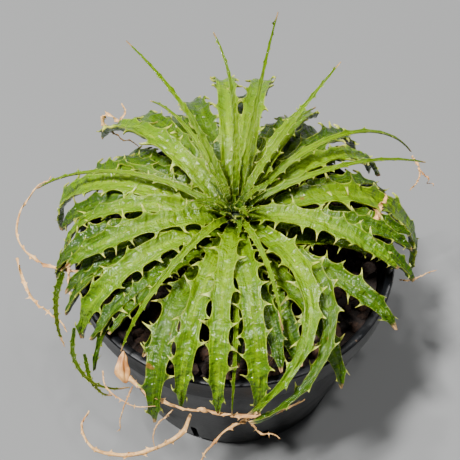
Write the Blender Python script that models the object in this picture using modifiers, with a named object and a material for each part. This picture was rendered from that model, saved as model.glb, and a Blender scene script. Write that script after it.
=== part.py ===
# Potted encholirium: a rosette of spiny strap leaves in a round nursery pot.
# Metres, +Z up.  The origin is the centre of the pot's flat base, so the pot
# stands on z = 0.  Azimuth 0 is +X, 90 is +Y; the front of the plant is -Y.

import math
import random

import bmesh
import bpy
from mathutils import Matrix, Vector

MM = 0.001

# ---------------------------------------------------------------- dimensions
# Pot (mm)
POT_HEIGHT = 64.0
RIM_RADIUS = 52.5
COLLAR_HEIGHT = 9.0
COLLAR_STEP = 1.3
BASE_RADIUS = 38.0
WALL = 1.8
LIP = 2.8
FLOOR = 2.2
SLOT_COUNT = 10
SLOT_WIDTH = 2.2
SLOT_HEIGHT = 13.0
SLOT_FIRST = 286.0

# Substrate (mm)
FILL_TOP = 57.0
FILL_SIDES = 40
FILL_RINGS = 9
FILL_BUMP = 0.9

# Stem (mm): the short caudex that carries the leaves
STEM_FOOT_RADIUS = 8.5
STEM_TOP_RADIUS = 2.4
STEM_TOP = 84.0

# Leaves (mm)
LEAF_THICKNESS = 1.3
ROW_SPACING = 2.9
NARROW_SPACING = 6.0
TOOTH = 2.3
GAP = 0.3

# Each leaf: name, azimuth it leaves the stem at, height of its base, length,
# width, rise (pitch at the base), droop (pitch at the tip), bend (how late
# the arch comes, 1 is an even arc), sway (how far it turns sideways).
# Angles are in degrees.
YOUNG = [
    ("leaf_young_back_left", 123, 84, 63, 2.6, 50, 12, 0.9, 12),
    ("leaf_young_back", 87, 87, 52, 2.4, 60, 28, 1.0, 34),
    ("leaf_young_back_right", 73, 84, 60, 2.3, 57, 42, 1.0, -4),
    ("leaf_young_right", 49, 85, 55, 2.7, 45, 16, 0.9, -2),
]
NARROW = [
    ("leaf_narrow_left", 157, 81, 72, 2.6, 24, -42, 1.0, 20),
    ("leaf_narrow_front_left", 233, 82, 60, 2.8, 32, -64, 1.0, 0),
    ("leaf_narrow_front", 293, 82, 45, 2.2, 32, -40, 1.0, -14),
    ("leaf_narrow_front_mid", 270, 74, 67, 2.4, 27, -88, 1.5, 2),
    ("leaf_narrow_back_left", 117, 81, 58, 2.5, 36, -30, 1.0, 12),
    ("leaf_narrow_right_back", 41, 81, 84, 2.8, 37, -60, 1.0, -22),
    ("leaf_narrow_right", 25, 83, 68, 2.6, 18, -26, 1.0, -8),
    ("leaf_narrow_back_right", 61, 82, 48, 2.4, 35, -16, 1.0, -14),
]
CROWN = [
    ("leaf_crown_a", 10, 86, 15, 2.4, 62, 20, 1.0, 0),
    ("leaf_crown_b", 140, 86, 14, 2.2, 66, 30, 1.0, 0),
    ("leaf_crown_c", 205, 86, 15, 2.4, 58, 10, 1.0, 0),
    ("leaf_crown_d", 290, 86, 13, 2.2, 60, 15, 1.0, 0),
]
UPPER = [
    ("leaf_back_left_a", 95, 77, 88, 5.4, 46, -75, 1.1, -4),
    ("leaf_back_right_a", 80, 80, 85, 5.4, 43, -72, 1.1, 4),
    ("leaf_back_right_b", 62, 77, 67, 5.0, 39, -56, 1.1, 0),
    ("leaf_back_left_b", 134, 79, 80, 5.6, 38, -65, 1.0, -2),
    ("leaf_right_back_a", 37, 79, 72, 4.4, 31, -72, 1.1, -6),
    ("leaf_right_a", 18, 76, 96, 6.4, 31, -98, 0.9, -16),
    ("leaf_right_front_a", 346, 81, 54, 5.6, 24, -46, 1.1, -6),
    ("leaf_front_right_a", 317, 79, 81, 5.8, 16, -60, 1.6, -137),
    ("leaf_front_a", 278, 78, 70, 6.0, 27, -90, 1.3, -2),
    ("leaf_front_b", 264, 80, 71, 5.2, 26, -90, 1.3, 5),
    ("leaf_front_left_a", 253, 76, 69, 5.6, 29, -90, 1.4, 2),
    ("leaf_left_front_a", 215, 77, 69, 5.2, 29, -88, 1.3, -8),
    ("leaf_left_front_b", 198, 80, 56, 5.0, 28, -50, 1.2, 0),
    ("leaf_left_a", 178, 78, 71, 5.0, 28, -92, 1.3, 2),
    ("leaf_left_b", 161, 75, 82, 5.6, 27, -92, 1.3, 0),
]
LOWER = [
    ("leaf_back_left_c", 106, 74, 80, 5.8, 38, -75, 1.2, -3),
    ("leaf_back_left_d", 122, 71, 79, 5.6, 37, -68, 1.2, 2),
    ("leaf_back_right_c", 68, 73, 78, 5.4, 34, -80, 1.2, 2),
    ("leaf_back_right_d", 50, 71, 84, 5.0, 36, -85, 1.2, 2),
    ("leaf_left_c", 147, 72, 74, 5.2, 26, -78, 1.3, 2),
    ("leaf_left_front_c", 227, 74, 52, 6.2, 26, -40, 1.2, -4),
    ("leaf_right_b", 358, 74, 58, 5.0, 26, -50, 1.2, -2),
    ("leaf_right_c", 10, 71, 57, 5.0, 18, -40, 1.2, -10),
    ("leaf_front_right_b", 326, 70, 90, 4.8, 44, -47, 0.7, -165),
    ("leaf_front_left_b", 239, 70, 72, 6.2, 23, -90, 1.7, 33),
]
LOWEST = [
    ("leaf_back_e", 90, 68, 66, 5.0, 26, -75, 1.6, 0),
    ("leaf_back_left_e", 133, 68, 66, 5.0, 24, -75, 1.6, 3),
    ("leaf_left_d", 188, 68, 61, 6.0, 24, -72, 1.8, 0),
    ("leaf_left_front_d", 203, 71, 63, 4.8, 24, -80, 1.8, 4),
    ("leaf_left_front_e", 213, 67, 65, 4.2, 24, -80, 1.8, 38),
    ("leaf_front_left_d", 240, 68, 48, 5.2, 20, -34, 1.6, -4),
    ("leaf_front_d", 271, 68, 44, 5.0, 20, -30, 1.6, 0),
    ("leaf_front_right_c", 294, 66, 46, 7.0, 22, -34, 1.5, 2),
    ("leaf_front_right_d", 306, 68, 62, 5.4, 23, -78, 1.9, -8),
    ("leaf_front_right_e", 328, 68, 58, 5.0, 24, -54, 1.7, -4),
    ("leaf_right_d", 350, 68, 61, 5.6, 25, -72, 1.8, 0),
]
LEAVES = YOUNG + NARROW + CROWN + UPPER + LOWER + LOWEST


def stem_radius(height):
    """Radius of the stem at a height above the pot's base, in mm."""
    share = (height - FILL_TOP) / (STEM_TOP - FILL_TOP)
    share = min(max(share, 0.0), 1.0)
    return STEM_FOOT_RADIUS + (STEM_TOP_RADIUS - STEM_FOOT_RADIUS) * share


def centre_line(row, steps):
    """Points, headings and pitches down the middle of a leaf, in mm and radians."""
    name, azimuth, height, length, width, rise, droop, bend, sway = row
    start = stem_radius(height) + 0.9
    turn = math.radians(azimuth)
    point = [start * math.cos(turn), start * math.sin(turn), height]
    fine = 8
    line = []
    for step in range(steps * fine + 1):
        along = step / (steps * fine)
        pitch = math.radians(rise + (droop - rise) * along ** bend)
        heading = math.radians(azimuth + sway * along ** 1.6)
        if step % fine == 0:
            line.append((tuple(point), heading, pitch, along))
        reach = length / (steps * fine)
        point[0] += reach * math.cos(pitch) * math.cos(heading)
        point[1] += reach * math.cos(pitch) * math.sin(heading)
        point[2] += reach * math.sin(pitch)
    return line


def half_width(width, along):
    """Half the blade's width at a share of its length."""
    if width < 3.0:
        taper = 1.0 - 0.82 * along ** 1.1
    else:
        taper = 1.0 - 0.72 * max(0.0, (along - 0.55) / 0.45) ** 1.3
    base = 0.42 + 0.58 * min(1.0, along / 0.22)
    return 0.5 * width * min(base, taper)


def tooth(row_index, side, along, width):
    """How far the margin stands out at one row: teeth alternate left and right."""
    if width < 3.0 or along < 0.26 or along > 0.95:
        return 0.0
    if row_index % 4 != (1 if side > 0 else 3):
        return 0.0
    return TOOTH * (1.0 - 0.45 * along)


def material(name, colour, roughness, metallic=0.0):
    made = bpy.data.materials.new(name)
    made.use_nodes = True
    shader = made.node_tree.nodes["Principled BSDF"]
    shader.inputs["Base Color"].default_value = (*colour, 1.0)
    shader.inputs["Roughness"].default_value = roughness
    shader.inputs["Metallic"].default_value = metallic
    return made


def add_object(name, mesh, skin):
    made = bpy.data.objects.new(name, mesh)
    mesh.materials.append(skin)
    plant.objects.link(made)
    return made


def turned(name, profile, steps, skin):
    """A profile of (radius, height) in mm, turned round the Z axis."""
    mesh = bpy.data.meshes.new(name)
    points = [(radius * MM, 0.0, height * MM) for radius, height in profile]
    edges = [(index, index + 1) for index in range(len(points) - 1)]
    mesh.from_pydata(points, edges, [])
    made = add_object(name, mesh, skin)
    screw = made.modifiers.new("Turn", "SCREW")
    screw.steps = steps
    screw.render_steps = steps
    screw.use_merge_vertices = True
    screw.merge_threshold = 0.00005
    screw.use_smooth_shade = False
    return made


def add_leaf(row, skin):
    """A straight strip laid along the leaf's arch, then given its thickness."""
    name, azimuth, height, length, width, rise, droop, bend, sway = row
    rows = max(8, round(length / ROW_SPACING))
    if width < 3.0:
        rows = max(8, round(length / NARROW_SPACING))
    line = centre_line(row, rows)
    shape = bmesh.new()
    bmesh.ops.create_grid(shape, x_segments=1, y_segments=rows, size=1.0)
    for vertex in shape.verts:
        index = round((vertex.co.y + 1.0) * 0.5 * rows)
        side = 1.0 if vertex.co.x < 0.0 else -1.0
        point, heading, pitch, along = line[index]
        reach = half_width(width, along) + tooth(index, side, along, width)
        across = Vector((-math.sin(heading), math.cos(heading), 0.0))
        vertex.co = (Vector(point) + across * side * reach) * MM
    mesh = bpy.data.meshes.new(name)
    shape.to_mesh(mesh)
    shape.free()
    made = add_object(name, mesh, skin)
    thicken = made.modifiers.new("Thickness", "SOLIDIFY")
    thicken.thickness = (LEAF_THICKNESS if width >= 3.0 else 1.0) * MM
    thicken.offset = 0.0
    return made


# ------------------------------------------------------------------ clean start
for old in list(bpy.data.objects):
    bpy.data.objects.remove(old, do_unlink=True)

plant = bpy.data.collections.new("Potted encholirium")
bpy.context.scene.collection.children.link(plant)
cutters = bpy.data.collections.new("Cutters")
bpy.context.scene.collection.children.link(cutters)

pot_skin = material("pot_plastic", (0.012, 0.013, 0.014), 0.42)
fill_skin = material("baked_clay", (0.060, 0.022, 0.008), 0.90)
stem_skin = material("stem", (0.130, 0.190, 0.030), 0.60)
leaf_skin = material("leaf_upper", (0.230, 0.420, 0.040), 0.30)
young_skin = material("leaf_young", (0.330, 0.500, 0.050), 0.30)
low_skin = material("leaf_lower", (0.070, 0.170, 0.020), 0.35)

# -------------------------------------------------------------------------- pot
# A turned wall with a collar round the top, a rounded lip and a flat floor.
wall_top = POT_HEIGHT - COLLAR_HEIGHT
outer_top = RIM_RADIUS - COLLAR_STEP - 0.5


def outer_wall(height):
    return BASE_RADIUS + (outer_top - BASE_RADIUS) * height / wall_top


pot_profile = [
    (0.0, FLOOR),
    (BASE_RADIUS - WALL - 1.0, FLOOR),
    (BASE_RADIUS - WALL, FLOOR + 1.0),
    (outer_wall(wall_top - 1.0) - WALL, wall_top - 1.0),
    (RIM_RADIUS - LIP, wall_top + 2.0),
    (RIM_RADIUS - LIP, POT_HEIGHT - 0.7),
    (RIM_RADIUS - LIP + 0.7, POT_HEIGHT),
    (RIM_RADIUS - 0.7, POT_HEIGHT),
    (RIM_RADIUS, POT_HEIGHT - 0.7),
    (RIM_RADIUS - 0.5, wall_top + 0.5),
    (RIM_RADIUS - 1.0, wall_top),
    (outer_top, wall_top),
    (outer_wall(20.0), 20.0),
    (outer_wall(2.0), 2.0),
    (BASE_RADIUS - 2.0, 0.0),
    (0.0, 0.0),
]
pot = turned("pot", pot_profile, 60, pot_skin)

# Slits run up the wall from the base edge and a little way under the floor.
for number in range(SLOT_COUNT):
    angle = math.radians(SLOT_FIRST + 360.0 * number / SLOT_COUNT)
    shape = bmesh.new()
    bmesh.ops.create_cube(shape, size=1.0)
    bmesh.ops.scale(shape, vec=(0.011, SLOT_WIDTH * MM, 2.0 * SLOT_HEIGHT * MM), verts=shape.verts)
    place = Matrix.Rotation(angle, 4, "Z") @ Matrix.Translation((BASE_RADIUS * MM, 0.0, 0.0))
    bmesh.ops.transform(shape, matrix=place, verts=shape.verts)
    mesh = bpy.data.meshes.new("slit_cutter")
    shape.to_mesh(mesh)
    shape.free()
    cutter = bpy.data.objects.new("slit_cutter_%d" % number, mesh)
    cutter.hide_render = True
    cutter.display_type = "WIRE"
    cutters.objects.link(cutter)
    cut = pot.modifiers.new("Slit %d" % number, "BOOLEAN")
    cut.operation = "DIFFERENCE"
    cut.solver = "EXACT"
    cut.object = cutter

# -------------------------------------------------------------------- substrate
# One plug of clay granules: tapered like the pot, with a lumpy top.
foot = FLOOR + GAP
fill_depth = FILL_TOP - foot
foot_radius = outer_wall(foot) - WALL - 1.8
top_radius = outer_wall(wall_top - 1.0) - WALL - 0.6
shape = bmesh.new()
bmesh.ops.create_cone(
    shape, cap_ends=True, segments=FILL_SIDES, depth=fill_depth * MM,
    radius1=foot_radius * MM, radius2=top_radius * MM,
)
bmesh.ops.translate(shape, vec=(0.0, 0.0, (foot + 0.5 * fill_depth) * MM), verts=shape.verts)
top = max(shape.faces, key=lambda face: face.calc_center_median().z)
for ring in range(FILL_RINGS):
    bmesh.ops.inset_individual(shape, faces=[top], thickness=top_radius / (FILL_RINGS + 2.0) * MM)
bmesh.ops.poke(shape, faces=[top])
lumps = random.Random(7)
for vertex in shape.verts:
    radius = vertex.co.xy.length / MM
    if vertex.co.z > 0.9 * FILL_TOP * MM and 12.0 < radius < top_radius - 1.0:
        vertex.co.z += lumps.uniform(-FILL_BUMP, FILL_BUMP) * MM
mesh = bpy.data.meshes.new("substrate")
shape.to_mesh(mesh)
shape.free()
add_object("substrate", mesh, fill_skin)

# ------------------------------------------------------------------------- stem
stem_profile = [(0.0, STEM_TOP + 0.8), (STEM_TOP_RADIUS - 0.8, STEM_TOP + 0.8)]
for ring in range(7):
    height = STEM_TOP - ring * (STEM_TOP - FILL_TOP - GAP) / 6.0
    stem_profile.append((stem_radius(height), height))
stem_profile.append((0.0, FILL_TOP + GAP))
turned("stem", stem_profile, 20, stem_skin)

# ----------------------------------------------------------------------- leaves
for row in YOUNG + NARROW + CROWN:
    add_leaf(row, young_skin)
for row in UPPER:
    add_leaf(row, leaf_skin)
for row in LOWER + LOWEST:
    add_leaf(row, low_skin)

# The leaves, the stem, the substrate and the pot stay separate objects, held
# in place by the stem rooted in the substrate.
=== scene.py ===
import math
import random

import bpy
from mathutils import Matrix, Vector, kdtree, noise


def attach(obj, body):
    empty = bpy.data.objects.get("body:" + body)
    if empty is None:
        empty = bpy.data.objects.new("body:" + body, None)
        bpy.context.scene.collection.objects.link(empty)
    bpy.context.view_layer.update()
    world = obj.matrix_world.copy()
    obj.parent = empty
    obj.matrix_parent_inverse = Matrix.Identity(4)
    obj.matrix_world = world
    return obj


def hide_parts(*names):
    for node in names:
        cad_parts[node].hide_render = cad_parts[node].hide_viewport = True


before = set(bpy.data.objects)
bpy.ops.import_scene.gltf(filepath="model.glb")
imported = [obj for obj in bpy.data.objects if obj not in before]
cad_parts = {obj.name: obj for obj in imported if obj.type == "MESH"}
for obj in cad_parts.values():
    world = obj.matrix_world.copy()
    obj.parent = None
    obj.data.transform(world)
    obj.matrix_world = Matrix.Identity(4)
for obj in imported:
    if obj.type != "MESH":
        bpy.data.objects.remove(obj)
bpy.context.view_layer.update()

# ---------------------------------------------------------------- studio
# A pale grey table and soft daylight: one large window light from the upper
# left, a weaker one behind, and two small lamps that put glints on the wax.
MM = 0.001
CAMERA_PLACE = (0.0, -0.1981, 0.3088)
CAMERA_TARGET = (-0.0016, 0.0046, 0.0677)
CAMERA_LENS = 74.7
PLANT_MIDDLE = (0.0, 0.0, 0.07)


def deselect():
    if bpy.context.object and bpy.context.object.mode != "OBJECT":
        bpy.ops.object.mode_set(mode="OBJECT")
    bpy.ops.object.select_all(action="DESELECT")


def aim(thing, target):
    direction = Vector(target) - thing.location
    thing.rotation_euler = direction.to_track_quat("-Z", "Y").to_euler()


deselect()
bpy.ops.object.camera_add(location=CAMERA_PLACE)
camera = bpy.context.object
camera.data.lens = CAMERA_LENS
camera.data.sensor_width = 36.0
camera.data.clip_start = 0.01
aim(camera, CAMERA_TARGET)
bpy.context.scene.camera = camera

world = bpy.data.worlds.new("soft_room")
bpy.context.scene.world = world
world.use_nodes = True
world.node_tree.nodes["Background"].inputs["Color"].default_value = (0.93, 0.96, 1.0, 1.0)
world.node_tree.nodes["Background"].inputs["Strength"].default_value = 0.12


def add_softbox(place, size, power):
    """A rectangular lamp, sizes in metres and power in watts, aimed at the plant."""
    deselect()
    bpy.ops.object.light_add(type="AREA", location=place)
    lamp = bpy.context.object
    lamp.data.shape = "RECTANGLE"
    lamp.data.size = size[0]
    lamp.data.size_y = size[1]
    lamp.data.energy = power
    aim(lamp, PLANT_MIDDLE)


add_softbox((-0.90, -0.48, 2.40), (0.32, 0.32), 175.0)
add_softbox((1.20, 1.20, 2.10), (0.40, 0.30), 20.0)
add_softbox((-0.48, 0.66, 1.86), (0.12, 0.12), 18.0)
add_softbox((0.36, -0.30, 1.98), (0.12, 0.12), 13.0)


class Wire:
    """A shader socket that sums, scales and blends as a number in an expression."""

    def __init__(self, tree, socket):
        self.tree = tree
        self.socket = socket

    def node(self, kind, settings=None, inputs=None, output=0):
        made = self.tree.nodes.new(kind)
        for name, value in (settings or {}).items():
            setattr(made, name, value)
        for name, value in (inputs or {}).items():
            self.join(made.inputs[name], value)
        return Wire(self.tree, made.outputs[output])

    def join(self, socket, value):
        if isinstance(value, Wire):
            self.tree.links.new(value.socket, socket)
        elif isinstance(value, tuple) and len(value) == 3 and socket.type == "RGBA":
            socket.default_value = (*value, 1.0)
        else:
            socket.default_value = value

    def maths(self, operation, *values):
        return self.node("ShaderNodeMath", {"operation": operation}, dict(enumerate(values)))

    def __add__(self, other):
        return self.maths("ADD", self, other)

    __radd__ = __add__

    def __mul__(self, other):
        return self.maths("MULTIPLY", self, other)

    __rmul__ = __mul__

    def __sub__(self, other):
        return self.maths("SUBTRACT", self, other)

    def __rsub__(self, other):
        return self.maths("SUBTRACT", other, self)

    def ramp(self, low, high):
        """0 below low, 1 above high, smooth between."""
        return self.node(
            "ShaderNodeMapRange", {"interpolation_type": "SMOOTHSTEP"},
            {"Value": self, "From Min": low, "From Max": high})

    def tint(self, first, second):
        """A colour between two, by this number."""
        return self.node(
            "ShaderNodeMix", {"data_type": "RGBA"},
            {"Factor": self, 6: first, 7: second}, output=2)

    def noise(self, vector, scale, detail=2.0, roughness=0.5):
        return self.node(
            "ShaderNodeTexNoise", {},
            {"Vector": vector, "Scale": scale, "Detail": detail, "Roughness": roughness})


def new_material(name, roughness):
    """A Principled material, and a wire to start its node expressions from."""
    made = bpy.data.materials.new(name)
    made.use_nodes = True
    tree = made.node_tree
    shader = tree.nodes["Principled BSDF"]
    shader.inputs["Roughness"].default_value = roughness
    return made, shader, Wire(tree, None)


floor_skin, shader, start = new_material("floor_paper", 0.9)
place = start.node("ShaderNodeTexCoord", output=3)
paper = start.noise(place, 2.0).ramp(0.3, 0.7).tint((0.160, 0.162, 0.160), (0.175, 0.177, 0.175))
start.join(shader.inputs["Base Color"], paper)

deselect()
bpy.ops.mesh.primitive_plane_add(size=6.0)
floor = bpy.context.object
floor.name = "floor"
floor.data.materials.append(floor_skin)

# ------------------------------------------------------------------- pot
# A thin injection-moulded nursery pot in black polypropylene: a tapered wall,
# a collar round the rim, a rolled lip, and drainage slits at the base edge.
RIM_RADIUS = 52.5
BASE_RADIUS = 38.0
WALL_TOP = 55.0
WALL_TOP_RADIUS = 50.7
WALL_SLOPE = (WALL_TOP_RADIUS - BASE_RADIUS) / WALL_TOP
POT_SIDES = 160

pot_skin, shader, start = new_material("black_nursery_plastic", 0.4)
shader.inputs["Specular IOR Level"].default_value = 0.26
place = start.node("ShaderNodeTexCoord", output=3)
fine = start.noise(place, 900.0, 3.0)
dust = start.noise(place, 45.0, 4.0).ramp(0.48, 0.74)
specks = start.noise(place, 620.0, 1.0).ramp(0.72, 0.76)
black = (dust * 0.6).tint((0.0022, 0.0026, 0.0034), (0.010, 0.010, 0.010))
start.join(shader.inputs["Base Color"], (specks * 0.5).tint(black, (0.10, 0.06, 0.035)))
start.join(shader.inputs["Roughness"], 0.30 + dust * 0.20 + fine * 0.06)
bump = start.node("ShaderNodeBump", {}, {"Height": fine, "Strength": 0.12, "Distance": 0.0004})
start.join(shader.inputs["Normal"], bump)


def next_ring(radius, height):
    """Extrudes the selected ring to a new radius and height in millimetres."""
    global ring_radius, ring_height
    bpy.ops.mesh.extrude_region_move(
        TRANSFORM_OT_translate={"value": (0, 0, (height - ring_height) * MM)})
    share = radius / ring_radius
    bpy.ops.transform.resize(value=(share, share, 1.0), center_override=(0, 0, 0))
    ring_radius, ring_height = radius, height


deselect()
bpy.ops.mesh.primitive_circle_add(
    vertices=POT_SIDES, radius=(BASE_RADIUS - 2.0) * MM, fill_type="NGON")
pot = bpy.context.object
pot.name = "nursery_pot"
bpy.ops.object.mode_set(mode="EDIT")
bpy.ops.mesh.select_all(action="SELECT")
ring_radius, ring_height = BASE_RADIUS - 2.0, 0.0
for radius, height in [
    (BASE_RADIUS - 0.7, 0.5), (BASE_RADIUS + 0.2, 1.9), (BASE_RADIUS + 20 * WALL_SLOPE, 20.0),
    (BASE_RADIUS + 40 * WALL_SLOPE, 40.0), (WALL_TOP_RADIUS - 0.1, 54.6),
    (WALL_TOP_RADIUS + 0.2, WALL_TOP), (RIM_RADIUS - 0.9, WALL_TOP), (RIM_RADIUS - 0.55, 55.3), (RIM_RADIUS - 0.3, 59.0),
    (RIM_RADIUS - 0.1, 62.9), (RIM_RADIUS, 63.3), (RIM_RADIUS - 0.3, 63.8), (RIM_RADIUS - 0.8, 64.0),
    (RIM_RADIUS - 2.0, 64.0), (RIM_RADIUS - 2.5, 63.8), (RIM_RADIUS - 2.75, 63.3),
    (RIM_RADIUS - 2.8, 57.0), (WALL_TOP_RADIUS - 2.0, 54.0), (BASE_RADIUS + 20 * WALL_SLOPE - 1.8, 20.0),
    (BASE_RADIUS - 1.8, 3.2), (BASE_RADIUS - 2.8, 2.2), (1.0, 2.2),
]:
    next_ring(radius, height)
bpy.ops.mesh.select_all(action="SELECT")
bpy.ops.mesh.remove_doubles(threshold=0.000001)
bpy.ops.mesh.normals_make_consistent(inside=False)
bpy.ops.object.mode_set(mode="OBJECT")

SLIT_COUNT = 10
SLIT_FIRST = 286.0
SLIT_WIDTH = 2.2
SLIT_HEIGHT = 13.0
SLIT_DEPTH = 11.0
for number in range(SLIT_COUNT):
    angle = math.radians(SLIT_FIRST + 360.0 * number / SLIT_COUNT)
    deselect()
    bpy.ops.mesh.primitive_cube_add(
        size=1.0, rotation=(0, 0, angle),
        location=(BASE_RADIUS * MM * math.cos(angle), BASE_RADIUS * MM * math.sin(angle), 0.0))
    cutter = bpy.context.object
    cutter.scale = (SLIT_DEPTH * MM, SLIT_WIDTH * MM, 2.0 * SLIT_HEIGHT * MM)
    bpy.ops.object.transform_apply(location=True, rotation=True, scale=True)
    bevel = cutter.modifiers.new("Bevel", "BEVEL")
    bevel.width = 0.9 * MM
    bevel.segments = 4
    bpy.ops.object.modifier_apply(modifier="Bevel")
    deselect()
    pot.select_set(True)
    bpy.context.view_layer.objects.active = pot
    cut = pot.modifiers.new("Slit", "BOOLEAN")
    cut.operation = "DIFFERENCE"
    cut.solver = "EXACT"
    cut.object = cutter
    bpy.ops.object.modifier_apply(modifier="Slit")
    bpy.data.objects.remove(cutter, do_unlink=True)
deselect()
pot.select_set(True)
bpy.context.view_layer.objects.active = pot
bpy.ops.object.shade_smooth_by_angle(angle=math.radians(35))
pot.data.materials.clear()
pot.data.materials.append(pot_skin)
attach(pot, "root")
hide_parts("pot")

# ------------------------------------------------------------- substrate
# Baked-clay and lava granules, 4 to 8 mm, dark brown and dull, on a body of
# finer dark grit that fills the pot.
FILL_TOP = 57.0
FILL_RADIUS = 48.6
GRANULES = 430
GRANULE_SIZES = (1.6, 3.3)
STEM_CLEARANCE = 9.0
BED_FOOT_RADIUS = 36.2
BED_TOP_RADIUS = 47.8
BED_DEPTH = 51.0
BED_MIDDLE = 29.1

clay_skin, shader, start = new_material("baked_clay_granules", 0.9)
place = start.node("ShaderNodeTexCoord", output=3)
pores = start.noise(place, 900.0, 5.0, 0.7)
patch = start.noise(place, 120.0, 3.0)
tone = start.node("ShaderNodeAttribute", {"attribute_name": "tone"}, output=2)
brown = tone.tint((0.010, 0.005, 0.003), (0.105, 0.042, 0.016))
warm = (patch.ramp(0.45, 0.70) * 0.5).tint(brown, (0.050, 0.022, 0.010))
dark = pores.ramp(0.35, 0.62) * 0.75 + 0.25
start.join(shader.inputs["Base Color"], dark.tint((0.006, 0.004, 0.003), warm))
start.join(shader.inputs["Roughness"], 0.74 + pores * 0.2)
bump = start.node("ShaderNodeBump", {}, {"Height": pores, "Strength": 0.9, "Distance": 0.0006})
start.join(shader.inputs["Normal"], bump)


def join_into(target, others):
    deselect()
    for other in others:
        other.select_set(True)
    target.select_set(True)
    bpy.context.view_layer.objects.active = target
    bpy.ops.object.join()


def paint_tone(thing, value):
    layer = thing.data.attributes.get("tone") or thing.data.attributes.new("tone", "FLOAT", "POINT")
    layer.data.foreach_set("value", [value] * len(thing.data.vertices))


def own_copy(source, name):
    made = source.copy()
    made.data = source.data.copy()
    made.name = name
    bpy.context.scene.collection.objects.link(made)
    return made


deselect()
bpy.ops.mesh.primitive_cone_add(
    vertices=72, radius1=BED_FOOT_RADIUS * MM, radius2=BED_TOP_RADIUS * MM,
    depth=BED_DEPTH * MM, location=(0, 0, BED_MIDDLE * MM))
bed = bpy.context.object
bed.name = "clay_granules"
bpy.ops.object.transform_apply(location=True, rotation=True, scale=True)
for face in bed.data.polygons:
    face.select = face.normal.z > 0.9
bpy.ops.object.mode_set(mode="EDIT")
bpy.context.tool_settings.mesh_select_mode = (False, False, True)
for ring in range(9):
    bpy.ops.mesh.inset(thickness=0.005)
bpy.ops.mesh.poke()
bpy.ops.object.mode_set(mode="OBJECT")
for vertex in bed.data.vertices:
    if vertex.co.z > 0.050:
        vertex.co.z += 0.0008 * noise.noise(vertex.co * 300.0)
paint_tone(bed, 0.05)
bed.data.materials.append(clay_skin)

draw = random.Random(11)
granule_kinds = []
for kind in range(5):
    deselect()
    bpy.ops.mesh.primitive_ico_sphere_add(subdivisions=2, radius=1.0)
    lump = bpy.context.object
    lump.name = "granule_kind"
    for vertex in lump.data.vertices:
        push = noise.noise(vertex.co * 1.1 + Vector((kind * 7.3, 0, 0))) * 0.42
        chip = noise.noise(vertex.co * 3.1 + Vector((0, kind * 3.7, 0))) * 0.20
        vertex.co = vertex.co * (1.0 + push + chip)
    granule_kinds.append(lump)

granules = []
placed = []
for attempt in range(30000):
    if len(granules) == GRANULES:
        break
    radius = (FILL_RADIUS - 2.0) * math.sqrt(draw.random())
    turn = draw.uniform(0, 2 * math.pi)
    size = draw.uniform(*GRANULE_SIZES)
    spot = Vector((radius * math.cos(turn), radius * math.sin(turn)))
    if radius < STEM_CLEARANCE or radius + size > FILL_RADIUS:
        continue
    level = sum(
        1 for other, other_size in placed if (other - spot).length < 0.78 * (size + other_size))
    if level > 1:
        continue
    placed.append((spot, size))
    lump = own_copy(granule_kinds[draw.randrange(5)], "granule")
    rest_height = FILL_TOP - 2.6 + 1.4 * level + draw.uniform(-0.4, 0.4)
    lump.location = (spot.x * MM, spot.y * MM, rest_height * MM)
    lump.rotation_euler = [draw.uniform(0, 6.28) for axis in range(3)]
    lump.scale = [size * MM * draw.uniform(0.8, 1.15) for axis in range(3)]
    paint_tone(lump, draw.uniform(0.1, 1.0) ** 1.5)
    lump.data.materials.append(clay_skin)
    granules.append(lump)
deselect()
for lump in granules:
    lump.select_set(True)
bpy.context.view_layer.objects.active = granules[0]
bpy.ops.object.transform_apply(location=True, rotation=True, scale=True)
bpy.ops.object.shade_flat()
join_into(bed, granules)
for kind in granule_kinds:
    bpy.data.objects.remove(kind, do_unlink=True)
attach(bed, "root")
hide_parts("substrate")

# ------------------------------------------------------------ leaf skins
# Waxy bromeliad leaf: green with long fine veins, a thin pale horny margin,
# pale thorns with tan points, brown scars, and ends that dry to straw.


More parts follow.
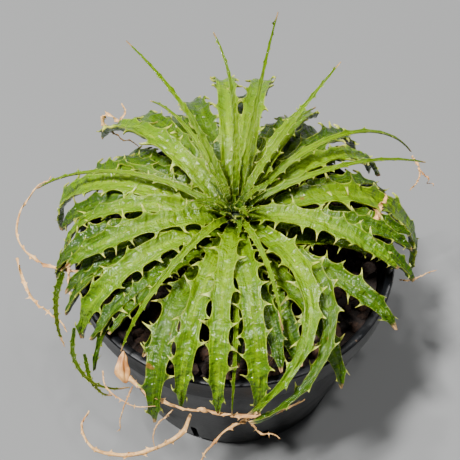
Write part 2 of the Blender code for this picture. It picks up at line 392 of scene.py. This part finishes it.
def leaf_material(name, near, far, deep_and_shade, light, dried):
    """A leaf's skin: colours near the root and far from it, a deep colour for the
    patches, the darker leaves and the painted shade towards the root, a light colour for the veins, and
    how far along it has dried."""
    made, shader, start = new_material(name, 0.3)
    shader.inputs["Subsurface Weight"].default_value = 0.12
    shader.inputs["Subsurface Radius"].default_value = (0.9, 1.0, 0.15)
    shader.inputs["Subsurface Scale"].default_value = 0.0014
    shader.inputs["Specular IOR Level"].default_value = 0.42
    uv = start.node("ShaderNodeUVMap", {"uv_map": "blade"})
    split = start.node("ShaderNodeSeparateXYZ", {}, {"Vector": uv})
    across = split.maths("ABSOLUTE", split)
    along = Wire(split.tree, split.socket.node.outputs[1])
    tone = start.node("ShaderNodeAttribute", {"attribute_name": "tone"}, output=2)
    rim = start.node("ShaderNodeAttribute", {"attribute_name": "rim"}, output=2)
    place = start.node("ShaderNodeTexCoord", output=3)
    offset = start.node("ShaderNodeCombineXYZ", {}, {"X": tone * 37.0, "Y": tone * 11.0})
    moved = start.node("ShaderNodeVectorMath", {"operation": "ADD"}, {0: uv, 1: offset})
    drawn_out = start.node("ShaderNodeMapping", {}, {"Vector": moved, "Scale": (4.6, 7.0, 1.0)})
    veins = start.noise(drawn_out, 1.0, 3.0, 0.55)
    squeezed = start.node("ShaderNodeMapping", {}, {"Vector": moved, "Scale": (1.0, 26.0, 1.0)})
    ripples = start.noise(squeezed, 1.0, 3.0)
    cells = start.noise(place, 420.0, 3.0)
    blotch = start.noise(place, 85.0, 2.0)
    body = (along * 0.85 + blotch * 0.35 - 0.12).ramp(0.0, 0.85).tint(near, far)
    # Each leaf darker by its tone: a random amount on most leaves, painted shade on the under leaves.
    body = (tone * 0.55).tint(body, deep_and_shade)
    body = (blotch.ramp(0.50, 0.72) * 0.45).tint(body, deep_and_shade)
    body = (veins.ramp(0.50, 0.74) * 0.50).tint(body, light)
    body = ((1.0 - across.ramp(0.0, 0.5)) * 0.18).tint(body, light)
    # Painted shade: darker towards the root, and nearly black at the very base, for the shadow deep in
    # the crown.
    body = ((1.0 - along.ramp(0.08, 0.34)) * 0.55).tint(body, deep_and_shade)
    body = ((1.0 - along.ramp(0.02, 0.13)) * 0.85).tint(body, (0.012, 0.032, 0.001))
    edge = 1.0 - rim.ramp(0.02, 0.30)
    thorn = across.ramp(1.25, 1.9)
    body = (edge * 0.55).tint(body, (0.40, 0.47, 0.04))
    body = (thorn * 0.85).tint(body, (0.52, 0.55, 0.09))
    body = (across.ramp(2.0, 2.4) * 0.45).tint(body, (0.55, 0.36, 0.13))
    spots = start.noise(place, 190.0, 1.0)
    body = (spots.ramp(0.76, 0.79) * 0.8).tint(body, (0.19, 0.085, 0.015))
    dry_at = blotch * 0.10 + along
    dry = dry_at.ramp(dried, dried + 0.03)
    straw = veins.ramp(0.3, 0.7).tint((0.36, 0.17, 0.05), (0.70, 0.47, 0.22))
    start.join(shader.inputs["Base Color"], dry.tint(body, straw))
    start.join(
        shader.inputs["Roughness"], 0.08 + veins * 0.05 + cells * 0.06 + dry * 0.35 + edge * 0.1)
    relief = veins * 0.42 + ripples * 1.5 + cells * 0.06
    bump = start.node("ShaderNodeBump", {}, {"Height": relief, "Strength": 0.9, "Distance": 0.0014})
    start.join(shader.inputs["Normal"], bump)
    return made


young_skin = leaf_material(
    "young_leaf_skin", (0.165, 0.265, 0.0004), (0.105, 0.215, 0.0004), (0.050, 0.115, 0.0004),
    (0.32, 0.47, 0.001), 1.00)
upper_skin = leaf_material(
    "upper_leaf_skin", (0.175, 0.275, 0.0004), (0.078, 0.175, 0.0004), (0.045, 0.105, 0.0004),
    (0.29, 0.43, 0.001), 1.02)
# A darker copy of the upper skin for the lower tiers: painted shade for leaves that lie beneath the
# others.
lower_shaded_skin = leaf_material(
    "lower_leaf_shaded_skin", (0.100, 0.180, 0.001), (0.030, 0.080, 0.001), (0.016, 0.045, 0.001),
    (0.15, 0.25, 0.003), 1.02)
tail_skin = leaf_material(
    "leaf_tail_skin", (0.045, 0.095, 0.001), (0.070, 0.060, 0.008), (0.025, 0.055, 0.001),
    (0.10, 0.17, 0.003), 0.9)

straw_skin, shader, start = new_material("dried_leaf_straw", 0.6)
place = start.node("ShaderNodeTexCoord", output=3)
fibre = start.noise(place, 600.0, 4.0, 0.7)
stain = start.noise(place, 110.0, 2.0)
straw = fibre.ramp(0.3, 0.7).tint((0.46, 0.22, 0.06), (0.78, 0.48, 0.19))
start.join(shader.inputs["Base Color"], (stain.ramp(0.55, 0.70) * 0.6).tint(straw, (0.36, 0.13, 0.03)))
start.join(shader.inputs["Roughness"], 0.45 + fibre * 0.3)
bump = start.node("ShaderNodeBump", {}, {"Height": fibre, "Strength": 0.8, "Distance": 0.0005})
start.join(shader.inputs["Normal"], bump)

# ------------------------------------------------------------ leaf blanks
# The flat blades before they are bent: a strap whose margin swells out into
# thorns, alternate left and right, most of them hooked back to the root.
BLANK_LENGTH = 75.0
WIDE_BLANK = 5.5
NARROW_BLANK = 2.6
THORN_STEPS = ((0.26, 0.50, 0.10), (0.32, 0.42, 0.30), (0.36, 0.22, 0.60))


def leaf_blank(name, width, reach, rows, gaps, thickness, seed):
    """A flat toothed strap along +Y from the origin: thorns reach out from the
    margin in millimetres, a choice of gaps counted in grid rows apart."""
    pick = random.Random(seed)
    deselect()
    bpy.ops.mesh.primitive_grid_add(x_subdivisions=4, y_subdivisions=rows, size=1.0)
    blank = bpy.context.object
    blank.name = name
    for vertex in blank.data.vertices:
        vertex.co = (vertex.co.x * width * MM, (vertex.co.y + 0.5) * BLANK_LENGTH * MM, 0.0)
    step = BLANK_LENGTH / rows
    margin = 0.5 * width * MM
    bpy.context.tool_settings.mesh_select_mode = (False, True, False)
    for side in (-1, 1):
        row = 2 if side < 0 else 4
        while row < rows - 2:
            middle = (row + 0.5) * step * MM
            for face in blank.data.polygons:
                face.select = False
            for vertex in blank.data.vertices:
                vertex.select = False
            for edge in blank.data.edges:
                ends = [blank.data.vertices[index].co for index in edge.vertices]
                edge.select = (
                    abs(ends[0].x - side * margin) < 1e-6 and abs(ends[1].x - side * margin) < 1e-6
                    and abs(0.5 * (ends[0].y + ends[1].y) - middle) < 0.2 * step * MM)
            bpy.ops.object.mode_set(mode="EDIT")
            size = reach * pick.uniform(0.75, 1.2) * (0.3 + 0.7 * min(1.0, row / rows / 0.32))
            lean = size * pick.uniform(0.15, 0.75) * (-1 if pick.random() < 0.62 else 1)
            bpy.ops.transform.translate(value=(side * 0.12 * size * MM, 0.0, 0.0))
            for share, shrink, slide in THORN_STEPS:
                bpy.ops.mesh.extrude_region_move(
                    TRANSFORM_OT_translate={"value": (side * size * share * MM, slide * lean * MM, 0)})
                bpy.ops.transform.resize(value=(1, shrink, 1))
            bpy.ops.object.mode_set(mode="OBJECT")
            row += pick.choice(gaps)
    smooth = blank.modifiers.new("Smooth", "SUBSURF")
    smooth.levels = 2
    smooth.render_levels = 2
    bpy.ops.object.modifier_apply(modifier="Smooth")
    layer = blank.data.uv_layers.new(name="blade")
    for loop in blank.data.loops:
        spot = blank.data.vertices[loop.vertex_index].co
        layer.data[loop.index].uv = (spot.x / margin, spot.y / (BLANK_LENGTH * MM))
    uses = {}
    for face in blank.data.polygons:
        for key in face.edge_keys:
            uses[key] = uses.get(key, 0) + 1
    outline = {index for key, count in uses.items() if count == 1 for index in key}
    near = kdtree.KDTree(len(outline))
    for index in outline:
        near.insert(blank.data.vertices[index].co, index)
    near.balance()
    inward = [near.find(vertex.co)[2] / MM for vertex in blank.data.vertices]
    blank.data.attributes.new("rim", "FLOAT", "POINT")
    blank.data.attributes["rim"].data.foreach_set("value", inward)
    plump = blank.vertex_groups.new(name="plump")
    for index, depth in enumerate(inward):
        plump.add([index], 0.26 + 0.74 * min(1.0, depth / (0.34 * width)) ** 0.7, "REPLACE")
    thick = blank.modifiers.new("Thick", "SOLIDIFY")
    thick.thickness = thickness * MM
    thick.offset = -1.0
    thick.vertex_group = "plump"
    bpy.ops.object.modifier_apply(modifier="Thick")
    blank.vertex_groups.clear()
    return blank


wide_blanks = [
    leaf_blank("blank_wide_a", WIDE_BLANK, 3.1, 34, (3, 3, 4, 4, 5), 1.7, 3),
    leaf_blank("blank_wide_b", WIDE_BLANK, 2.8, 34, (3, 3, 4, 4, 5), 1.7, 5),
    leaf_blank("blank_wide_c", WIDE_BLANK, 3.4, 34, (3, 4, 4, 5), 1.7, 9),
]
narrow_blank = leaf_blank("blank_narrow", NARROW_BLANK, 1.3, 40, (3, 4, 4), 1.0, 4)
heart_blank = leaf_blank("blank_heart", NARROW_BLANK, 1.2, 17, (4, 5), 1.0, 6)

# ---------------------------------------------------------------- leaves
# Fifty-odd leaves in a spiral round the short stem.  Each row: node, azimuth,
# height of the base, length, width, rise, droop, bend and sway, in
# millimetres and degrees, as the leaf springs from the stem and arches over.
STEM_TOP = 84.0
STEM_FOOT_RADIUS = 8.5
STEM_TOP_RADIUS = 2.4
STRAP_TAPER = 0.68
LEAF_STEPS = 240
NARROW_LIMIT = 3.0
SHORT_LIMIT = 20.0
SIDE_BREADTH = 1.15
BACK_THORNS = 0.6
YOUNG = [
    ("leaf_young_back_left", 123, 84, 63, 2.6, 50, 12, 0.9, 12),
    ("leaf_young_back", 87, 87, 52, 2.4, 60, 28, 1.0, 34),
    ("leaf_young_back_right", 73, 84, 60, 2.3, 57, 42, 1.0, -4),
    ("leaf_young_right", 49, 85, 55, 2.7, 45, 16, 0.9, -2),
]
NARROW = [
    ("leaf_narrow_left", 157, 81, 72, 2.6, 24, -42, 1.0, 20),
    ("leaf_narrow_front_left", 233, 82, 60, 2.8, 32, -64, 1.0, 0),
    ("leaf_narrow_front", 293, 82, 45, 2.2, 32, -40, 1.0, -14),
    ("leaf_narrow_front_mid", 270, 74, 67, 2.4, 27, -88, 1.5, 2),
    ("leaf_narrow_back_left", 117, 81, 58, 2.5, 36, -30, 1.0, 12),
    ("leaf_narrow_right_back", 41, 81, 84, 2.8, 37, -60, 1.0, -22),
    ("leaf_narrow_right", 25, 83, 68, 2.6, 18, -26, 1.0, -8),
    ("leaf_narrow_back_right", 61, 82, 48, 2.4, 35, -16, 1.0, -14),
]
CROWN = [
    ("leaf_crown_a", 10, 86, 15, 2.4, 62, 20, 1.0, 0),
    ("leaf_crown_b", 140, 86, 14, 2.2, 66, 30, 1.0, 0),
    ("leaf_crown_c", 205, 86, 15, 2.4, 58, 10, 1.0, 0),
    ("leaf_crown_d", 290, 86, 13, 2.2, 60, 15, 1.0, 0),
]
UPPER = [
    ("leaf_back_left_a", 95, 77, 88, 5.4, 46, -75, 1.1, -4),
    ("leaf_back_right_a", 80, 80, 85, 5.4, 43, -72, 1.1, 4),
    ("leaf_back_right_b", 62, 77, 67, 5.0, 39, -56, 1.1, 0),
    ("leaf_back_left_b", 134, 79, 80, 5.6, 38, -65, 1.0, -2),
    ("leaf_right_back_a", 37, 79, 72, 4.4, 31, -72, 1.1, -6),
    ("leaf_right_a", 18, 76, 96, 6.4, 31, -98, 0.9, -16),
    ("leaf_right_front_a", 346, 81, 54, 5.6, 24, -46, 1.1, -6),
    ("leaf_front_right_a", 317, 79, 81, 5.8, 16, -60, 1.6, -137),
    ("leaf_front_a", 278, 78, 70, 6.0, 27, -90, 1.3, -2),
    ("leaf_front_b", 264, 80, 71, 5.2, 26, -90, 1.3, 5),
    ("leaf_front_left_a", 253, 76, 69, 5.6, 29, -90, 1.4, 2),
    ("leaf_left_front_a", 215, 77, 69, 5.2, 29, -88, 1.3, -8),
    ("leaf_left_front_b", 198, 80, 56, 5.0, 28, -50, 1.2, 0),
    ("leaf_left_a", 178, 78, 71, 5.0, 28, -92, 1.3, 2),
    ("leaf_left_b", 161, 75, 82, 5.6, 27, -92, 1.3, 0),
]
LOWER = [
    ("leaf_back_left_c", 106, 74, 80, 5.8, 38, -75, 1.2, -3),
    ("leaf_back_left_d", 122, 71, 79, 5.6, 37, -68, 1.2, 2),
    ("leaf_back_right_c", 68, 73, 78, 5.4, 34, -80, 1.2, 2),
    ("leaf_back_right_d", 50, 71, 84, 5.0, 36, -85, 1.2, 2),
    ("leaf_left_c", 147, 72, 74, 5.2, 26, -78, 1.3, 2),
    ("leaf_left_front_c", 227, 74, 52, 6.2, 26, -40, 1.2, -4),
    ("leaf_right_b", 358, 74, 58, 5.0, 26, -50, 1.2, -2),
    ("leaf_right_c", 10, 71, 57, 5.0, 18, -40, 1.2, -10),
    ("leaf_front_right_b", 326, 70, 90, 4.8, 44, -47, 0.7, -165),
    ("leaf_front_left_b", 239, 70, 72, 6.2, 23, -90, 1.7, 33),
]
LOWEST = [
    ("leaf_back_e", 90, 68, 66, 5.0, 26, -75, 1.6, 0),
    ("leaf_back_left_e", 133, 68, 66, 5.0, 24, -75, 1.6, 3),
    ("leaf_left_d", 188, 68, 61, 6.0, 24, -72, 1.8, 0),
    ("leaf_left_front_d", 203, 71, 63, 4.8, 24, -80, 1.8, 4),
    ("leaf_left_front_e", 213, 67, 65, 4.2, 24, -80, 1.8, 38),
    ("leaf_front_left_d", 240, 68, 48, 5.2, 20, -34, 1.6, -4),
    ("leaf_front_d", 271, 68, 44, 5.0, 20, -30, 1.6, 0),
    ("leaf_front_right_c", 294, 66, 46, 7.0, 22, -34, 1.5, 2),
    ("leaf_front_right_d", 306, 68, 62, 5.4, 23, -78, 1.9, -8),
    ("leaf_front_right_e", 328, 68, 58, 5.0, 24, -54, 1.7, -4),
    ("leaf_right_d", 350, 68, 61, 5.6, 25, -72, 1.8, 0),
]


def stem_radius(height):
    share = min(max((height - FILL_TOP) / (STEM_TOP - FILL_TOP), 0.0), 1.0)
    return STEM_FOOT_RADIUS + (STEM_TOP_RADIUS - STEM_FOOT_RADIUS) * share


def centre_line(row, steps, start=None):
    """Points, side and top directions down the middle of a leaf, from root to tip."""
    name, azimuth, height, length, width, rise, droop, bend, sway = row
    if start is None:
        start = stem_radius(height) + 0.2
    turn = math.radians(azimuth)
    point = Vector((start * math.cos(turn), start * math.sin(turn), height))
    line = []
    for step in range(steps + 1):
        along = step / steps
        pitch = math.radians(rise + (droop - rise) * along ** bend)
        heading = math.radians(azimuth + sway * along ** 1.6)
        level = math.cos(pitch)
        ahead = Vector((level * math.cos(heading), level * math.sin(heading), math.sin(pitch)))
        side = Vector((math.sin(heading), -math.cos(heading), 0.0))
        line.append((point.copy(), side, side.cross(ahead)))
        point += ahead * (length / steps)
    return line


def bend_blade(blank, name, line, length, width, skin, number, taper=STRAP_TAPER, thorns=1.0):
    """A copy of a blank laid along a line, with its own waves, channel and twist."""
    pick = random.Random(number * 31 + 7)
    blade = own_copy(blank, name)
    narrow = blank not in wide_blanks
    dried = skin is straw_skin
    wide = width / (NARROW_BLANK if narrow else WIDE_BLANK)
    steps = len(line) - 1
    phase = pick.uniform(0, 6.28)
    roll_start = math.radians(pick.uniform(-6, 6))
    roll_end = math.radians(pick.uniform(-24, 24))
    drift = pick.uniform(-1.3, 1.3)
    seed = Vector((number * 3.1, 0, 0))
    for vertex in blade.data.vertices:
        x, along, z = vertex.co.x / MM * wide, vertex.co.y / MM / BLANK_LENGTH, vertex.co.z / MM
        along = min(max(along, 0.0), 1.0)
        if dried:
            profile = 1.0 - 0.80 * along ** 1.3
        elif narrow:
            profile = min(0.75 + along, 1.0 - 0.88 * along ** 1.2)
        else:
            narrowing = max(0.0, (along - taper) / (1.0 - taper)) ** (1.6 if taper > 0.6 else 0.8)
            profile = min(0.74 + 1.6 * along, 1.0 - 0.88 * narrowing)
        half = 0.5 * width
        reach = max(0.0, abs(x) / half - 1.0)
        thorn = thorns * reach * half * (1.18 - 0.75 * along ** 2) * (0.4 + 0.6 * profile)
        spread = min(abs(x), half) * profile + thorn
        x = math.copysign(spread, x)
        out = x / (half * profile)
        z *= 0.6 * wide + 0.1 if dried else 0.4 + 0.6 * profile
        z += 0.13 * width * profile * min(out * out, 1.4)
        if not narrow:
            z += 0.9 * noise.noise(Vector((along * length / 8.0, out * 1.1, 0)) + seed)
            z += 0.46 * noise.noise(Vector((along * length / 2.8, out * 1.6, 5)) + seed)
        flank = 4.0 if out > 0 else -4.0
        z += reach * 2.2 * noise.noise(Vector((along * length / 4.0, flank, 9)) + seed)
        x += drift * math.sin(along * 4.2 + phase) * along
        place = along * steps
        index = min(int(place), steps - 1)
        here, side, top = line[index]
        point = here.lerp(line[index + 1][0], place - index)
        roll = roll_start + roll_end * along
        if dried:
            roll = phase + 9.0 * noise.noise(Vector((along * 3.0, number * 1.7, 0)))
        right = side * math.cos(roll) + top * math.sin(roll)
        above = top * math.cos(roll) - side * math.sin(roll)
        vertex.co = (point + right * x + above * z) * MM
    deselect()
    blade.select_set(True)
    bpy.context.view_layer.objects.active = blade
    bpy.ops.object.shade_smooth_by_angle(angle=math.radians(60))
    blade.data.materials.clear()
    blade.data.materials.append(skin)
    paint_tone(blade, pick.uniform(0.0, 1.0))
    return blade


# Four long leaves narrow sooner than the others: the share of the length where
# each begins to.
SLIM = {
    "leaf_front_right_a": 0.30, "leaf_front_right_b": 0.36,
    "leaf_left_a": 0.45, "leaf_left_front_e": 0.45,
}
number = 0
for rows, skin, slot in (
    (YOUNG, young_skin, "leaf_young"), (NARROW, young_skin, "leaf_young"),
    (CROWN, young_skin, "leaf_young"), (UPPER, upper_skin, "leaf_upper"),
    (LOWER, lower_shaded_skin, "leaf_lower"), (LOWEST, lower_shaded_skin, "leaf_lower"),
):
    for row in rows:
        node, azimuth, height, length, width = row[:5]
        number += 1
        blank = wide_blanks[number % 3]
        if width < NARROW_LIMIT:
            blank = heart_blank if length < SHORT_LIMIT else narrow_blank
        elif not 225 < azimuth < 315:
            width *= SIDE_BREADTH
        blade = bend_blade(
            blank, node.replace("leaf_", "blade_"), centre_line(row, LEAF_STEPS), length, width, skin,
            number, taper=SLIM.get(node, STRAP_TAPER), thorns=BACK_THORNS if 50 < azimuth < 130 else 1.0)
        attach(blade, "root")
        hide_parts(node)

# ---------------------------------------------------------- under leaves
# Older leaves low on the stem, dark with shade, that show only through the
# gaps between the others.
UNDER = [
    ("under_a", 168, 73, 66, 6.8, 27, -72, 1.3, 2),
    ("under_b", 141, 71, 64, 6.4, 28, -64, 1.3, 0),
    ("under_c", 114, 71, 76, 6.2, 36, -72, 1.2, 0),
    ("under_d", 88, 72, 84, 6.0, 38, -72, 1.15, 0),
    ("under_e", 59, 70, 74, 6.0, 34, -75, 1.2, 2),
    ("under_f", 43, 70, 78, 5.8, 32, -78, 1.2, 2),
    ("under_g", 27, 71, 60, 5.8, 29, -64, 1.4, -2),
    ("under_h", 187, 72.5, 63, 7.2, 27, -68, 1.4, 2),
    ("under_i", 200, 71, 57, 6.2, 25, -58, 1.6, 2),
    ("under_j", 221, 71, 57, 6.0, 24, -57, 1.6, -2),
    ("under_k", 284, 71, 50, 5.6, 22, -40, 1.6, 2),
    ("under_l", 74, 69, 70, 6.0, 34, -70, 1.2, 0),
    ("under_m", 103, 69, 70, 6.0, 34, -70, 1.2, 0),
]
# Painted shade: the under leaves are tinted almost all the way to the deep colour.
UNDER_SHADE_TONE = 0.9
for row in UNDER:
    node, azimuth, height, length, width = row[:5]
    number += 1
    blade = bend_blade(
        wide_blanks[number % 3], node, centre_line(row, LEAF_STEPS), length, width, lower_shaded_skin, number)
    paint_tone(blade, UNDER_SHADE_TONE)
    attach(blade, "root")

# ----------------------------------------------------------------- heart
# The youngest leaves, 8 to 20 mm long, still folded together in the middle of the
# rosette with their pale hooks showing; their skin is painted shade, darkest at the root.
HEART_LEAVES = 11
HEART_TURN = 137.5
HEART_STEPS = 80
# Dark green, darkest at the root: painted shade in the middle of the rosette.
heart_shaded_skin = leaf_material(
    "heart_leaf_shaded_skin", (0.018, 0.055, 0.001), (0.085, 0.19, 0.001), (0.014, 0.045, 0.001),
    (0.20, 0.34, 0.002), 1.1)
draw = random.Random(23)
heart = []
for number in range(HEART_LEAVES):
    length = draw.uniform(8, 11) + number * 0.75
    width = draw.uniform(2.6, 3.6)
    row = (
        "heart", 40.0 + number * HEART_TURN, 81.5 - number * 0.30, length, width,
        draw.uniform(58, 80), draw.uniform(0, 45), 1.0, draw.uniform(-45, 45))
    line = centre_line(row, HEART_STEPS, start=0.12 * length)
    heart.append(bend_blade(
        heart_blank, "heart_leaf", line, length, width, heart_shaded_skin, 100 + number, thorns=0.7))
heart_leaves = heart[0]
join_into(heart_leaves, heart[1:])
heart_leaves.name = "heart_leaves"
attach(heart_leaves, "root")

# ------------------------------------------------------------ dried ends
# Leaf ends that have dried to straw-coloured toothed ribbons and threads,
# hanging from the tips they grew from and lying round the front of the pot.
# Each route is listed, in millimetres, with the ribbon's width first.
RIBBON_STEPS = 120
DRIED_ENDS = {
    "left_loop": (1.2, [
        (-49, -12, 66), (-57, -9, 64), (-64, -5, 62), (-70, 1, 61), (-74, 9, 61), (-73, 18, 63),
        (-68, 24, 67), (-63, 26, 70)]),
    "left_hang": (1.1, [
        (-73, 0, 58), (-70, -8, 56), (-66, -15, 55), (-61, -20, 56), (-56, -25, 58), (-52, -31, 60)]),
    "front_tail": (1.6, [
        (-13, -55, 52), (-16, -59, 47), (-23, -62, 44), (-31, -64, 43), (-39, -64, 44),
        (-44, -62, 46), (-46, -58, 49), (-44, -54, 52)]),
    "front_drip": (1.3, [
        (9, -53, 54), (4, -56, 51), (-2, -58, 48), (-7, -61, 43), (-10, -63, 38), (-12, -65, 33)]),
    "front_thread": (0.6, [(13, -36, 79), (14, -40, 74), (12, -45, 70), (8, -49, 67), (5, -52, 66)]),
    "collar_strip": (1.8, [
        (-34, -46, 67), (-31, -50, 65), (-27, -53, 63), (-22, -55, 61), (-16, -57, 59),
        (-10, -57, 58)]),
    "collar_strip_right": (1.4, [
        (-11, -56, 57), (-4, -57, 56), (3, -58, 56), (10, -58, 56), (16, -56, 58), (21, -54, 60)]),
    "thread_a": (0.5, [(-39, -48, 65), (-38, -52, 63), (-34, -55, 61), (-29, -57, 60), (-23, -57, 60)]),
    "thread_b": (0.5, [(-30, -52, 63), (-32, -55, 59), (-34, -58, 54), (-34, -60, 50)]),
    "thread_c": (0.5, [(-18, -57, 58), (-22, -59, 54), (-24, -61, 50), (-23, -63, 45)]),
    "right_thread": (0.5, [(54, -9, 59), (58, -9, 59), (63, -7, 60), (66, -7, 62)]),
    "right_curl": (1.0, [(62, 38, 69), (64, 34, 68), (64, 30, 66), (61, 27, 63)]),
    "right_tip": (0.9, [(64, 31, 69), (66, 29, 68), (68, 26, 66)]),
    "right_scrap": (3.0, [(43, 4, 71), (46, 6, 72), (48, 10, 73), (50, 15, 74)]),
    "left_strip": (1.4, [(-51, -4, 70), (-53, -10, 67), (-53, -15, 65), (-52, -20, 62)]),
    "back_curl": (1.5, [
        (-41, 44, 79), (-45, 49, 78), (-47, 50, 75), (-46, 49, 72), (-42, 51, 71), (-39, 55, 73),
        (-41, 58, 75)]),
    "back_hang": (0.8, [(-47, 50, 72), (-43, 48, 69), (-38, 46, 67), (-34, 44, 66)]),
    "front_tip": (0.7, [(4, -57, 53), (8, -60, 50), (12, -60, 49), (14, -61, 47)]),
}


def smooth_route(points, steps):
    """A curve through the given points, with a side and a top direction at each step."""
    points = [Vector(point) for point in points]
    points = [2 * points[0] - points[1]] + points + [2 * points[-1] - points[-2]]
    spans = len(points) - 3
    places = []
    for step in range(steps + 1):
        place = spans * step / steps
        index = min(int(place), spans - 1)
        t = place - index
        a, b, c, d = points[index:index + 4]
        places.append(0.5 * (
            2 * b + (c - a) * t + (2 * a - 5 * b + 4 * c - d) * t * t
            + (3 * b - a - 3 * c + d) * t ** 3))
    line = []
    for step, place in enumerate(places):
        ahead = (places[min(step + 1, steps)] - places[max(step - 1, 0)]).normalized()
        side = ahead.cross(Vector((0, 0, 1))).normalized()
        line.append((place, side, side.cross(ahead)))
    return line


def lay_ribbon(name, width, points, skin, number):
    """A narrow blade laid along a given route, and fixed to the plant."""
    length = sum((Vector(b) - Vector(a)).length for a, b in zip(points, points[1:]))
    ribbon = bend_blade(
        narrow_blank, name, smooth_route(points, RIBBON_STEPS), length, width, skin, number)
    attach(ribbon, "root")


for number, (name, (width, points)) in enumerate(DRIED_ENDS.items()):
    lay_ribbon("dried_" + name, width, points, straw_skin, 200 + number)

# ----------------------------------------------------------- dried pouch
# A leaf tip at the lower left that has dried to a papery, ribbed pouch: a
# sphere drawn out along its leaf, with a narrow neck and a pointed end.
pouch_skin, shader, start = new_material("dried_pouch_paper", 0.55)
place = start.node("ShaderNodeTexCoord", output=3)
stain = start.noise(place, 330.0, 3.0)
papery = stain.ramp(0.35, 0.65).tint((0.62, 0.33, 0.11), (0.34, 0.13, 0.03))
start.join(shader.inputs["Base Color"], papery)
POUCH_PLACE = (-33.2, -47.8, 66.8)
POUCH_HALF_LENGTH = 4.8
POUCH_HALF_WIDTH = 1.9
POUCH_HALF_DEPTH = 1.3
deselect()
bpy.ops.mesh.primitive_uv_sphere_add(segments=48, ring_count=32, radius=1.0)
pouch = bpy.context.object
pouch.name = "dried_pouch"
ahead = Vector((-1, 9, 7)).normalized()
side = ahead.cross(Vector((0, 0, 1))).normalized()
above = side.cross(ahead)
for vertex in pouch.data.vertices:
    x, y, z = vertex.co
    round_it = math.atan2(y, x)
    full = (1.0 - 0.35 * z * z - 0.28 * z) * (1.0 + 0.10 * math.sin(5 * round_it + 1.6 * z))
    full += 0.35 * noise.noise(Vector((x * 1.8, y * 1.8, z * 1.6 + 3)))
    curl = Vector((0.9 * z * z, 0.0, 0.0))
    vertex.co = (
        Vector(POUCH_PLACE) + curl + side * x * POUCH_HALF_WIDTH * full
        + above * y * POUCH_HALF_DEPTH * full + ahead * z * POUCH_HALF_LENGTH) * MM
bpy.ops.object.shade_smooth()
pouch.data.materials.append(pouch_skin)
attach(pouch, "root")

# ----------------------------------------------------------- green tails
# Thin green ends of the longest leaves, still alive, that curl in under the
# rosette round the front and the left of the pot.
GREEN_TAILS = {
    "left_rim": (1.5, [
        (-50, -30, 61), (-50, -37, 58), (-47, -43, 57), (-42, -48, 58), (-36, -51, 60),
        (-31, -52, 62)]),
    "left_low": (1.3, [(-46, -39, 60), (-44, -46, 57), (-40, -50, 57), (-36, -52, 59)]),
    "left_far": (2.2, [(-55, -12, 66), (-57, -19, 62), (-56, -27, 58), (-53, -33, 55)]),
}
for number, (name, (width, points)) in enumerate(GREEN_TAILS.items()):
    lay_ribbon("tail_" + name, width, points, tail_skin, 300 + number)

# Every blade has its own mesh by now, so the blanks are put away.
for blank in wide_blanks + [narrow_blank, heart_blank]:
    bpy.data.objects.remove(blank, do_unlink=True)

# ------------------------------------------------------------------ stem
# The short stem, wrapped in the torn, fibrous bases of old leaves.  It stands
# in the granules and carries every leaf, and its top is hidden in the heart.
STEM_SIDES = 40
STEM_RINGS = 12
STEM_FOOT = FILL_TOP + 0.3
stem_skin, shader, start = new_material("fibrous_stem", 0.7)
place = start.node("ShaderNodeTexCoord", output=3)
upright = start.node("ShaderNodeMapping", {}, {"Vector": place, "Scale": (1.0, 1.0, 0.15)})
strand = start.noise(upright, 900.0, 4.0)
fibrous = strand.ramp(0.35, 0.68).tint((0.003, 0.008, 0.001), (0.025, 0.048, 0.006))
start.join(shader.inputs["Base Color"], fibrous)
start.join(shader.inputs["Roughness"], 0.55 + strand * 0.3)
bump = start.node("ShaderNodeBump", {}, {"Height": strand, "Strength": 0.8, "Distance": 0.0005})
start.join(shader.inputs["Normal"], bump)

deselect()
bpy.ops.mesh.primitive_circle_add(
    vertices=STEM_SIDES, radius=STEM_FOOT_RADIUS * MM, fill_type="NGON",
    location=(0, 0, STEM_FOOT * MM))
stem = bpy.context.object
stem.name = "leaf_stem"
bpy.ops.object.transform_apply(location=True, rotation=True, scale=True)
bpy.ops.object.mode_set(mode="EDIT")
bpy.ops.mesh.select_all(action="SELECT")
ring_radius, ring_height = STEM_FOOT_RADIUS, STEM_FOOT
for ring in range(1, STEM_RINGS + 1):
    height = STEM_FOOT + ring * (STEM_TOP - 5.0 - FILL_TOP) / STEM_RINGS
    next_ring(stem_radius(height) + (0.25 if ring % 2 else -0.35), height)
next_ring(0.8, STEM_TOP - 4.0)
bpy.ops.mesh.select_all(action="SELECT")
bpy.ops.mesh.normals_make_consistent(inside=False)
bpy.ops.object.mode_set(mode="OBJECT")
bpy.ops.object.shade_smooth_by_angle(angle=math.radians(50))
stem.data.materials.append(stem_skin)
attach(stem, "root")
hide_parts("stem")
